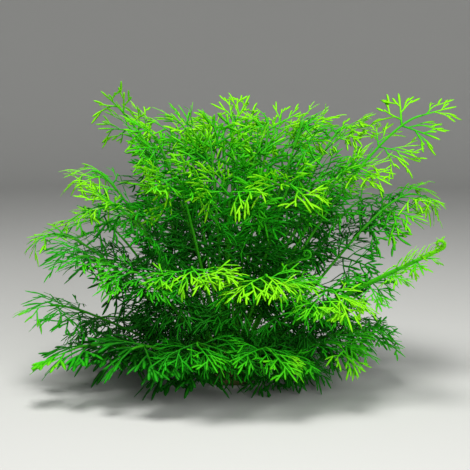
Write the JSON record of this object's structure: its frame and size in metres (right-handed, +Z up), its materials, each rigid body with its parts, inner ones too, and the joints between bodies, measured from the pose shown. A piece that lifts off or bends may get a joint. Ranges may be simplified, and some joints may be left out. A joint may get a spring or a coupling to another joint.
{
  "type": "water sprite plant",
  "caption": "Bushy aquarium fern: finely divided green fronds that arch out from a short flat-based crown, with a few young fronds still rolled at the tip.",
  "frame": {"origin": "centre of the crown's flat cut base, on the surface that the plant stands on", "axes": "+Z up out of the crown; seen from the front along +Y; +X along the plant's widest spread"},
  "size_m": [0.3253, 0.263, 0.2158],
  "materials": {
    "crown": "matte, scaly",
    "frond": "satin leaf",
    "young_frond": "satin leaf"
  },
  "bodies": {
    "root": {"crown": "crown", "frond_01": "frond", "frond_02": "frond", "frond_03": "frond", "frond_04": "frond", "frond_05": "frond", "frond_06": "frond", "frond_07": "frond", "frond_08": "frond", "frond_09": "frond", "frond_10": "frond", "frond_11": "frond", "frond_12": "frond", "frond_13": "frond", "frond_14": "frond", "frond_15": "frond", "frond_16": "frond", "frond_17": "frond", "frond_18": "frond", "frond_19": "frond", "frond_20": "frond", "frond_21": "frond", "frond_22": "frond", "frond_23": "frond", "frond_24": "frond", "frond_25": "frond", "frond_26": "frond", "frond_27": "frond", "frond_28": "frond", "frond_29": "frond", "frond_30": "frond", "frond_31": "frond", "frond_32": "frond", "frond_33": "frond", "frond_34": "frond", "frond_35": "frond", "frond_36": "frond", "frond_37": "frond", "frond_38": "frond", "frond_39": "frond", "frond_40": "frond", "frond_41": "frond", "frond_42": "frond", "frond_43": "frond", "frond_44": "frond", "frond_45": "frond", "frond_46": "frond", "frond_47": "frond", "frond_48": "frond", "young_frond_49": "young_frond", "young_frond_50": "young_frond", "young_frond_51": "young_frond"}
  },
  "joints": []
}
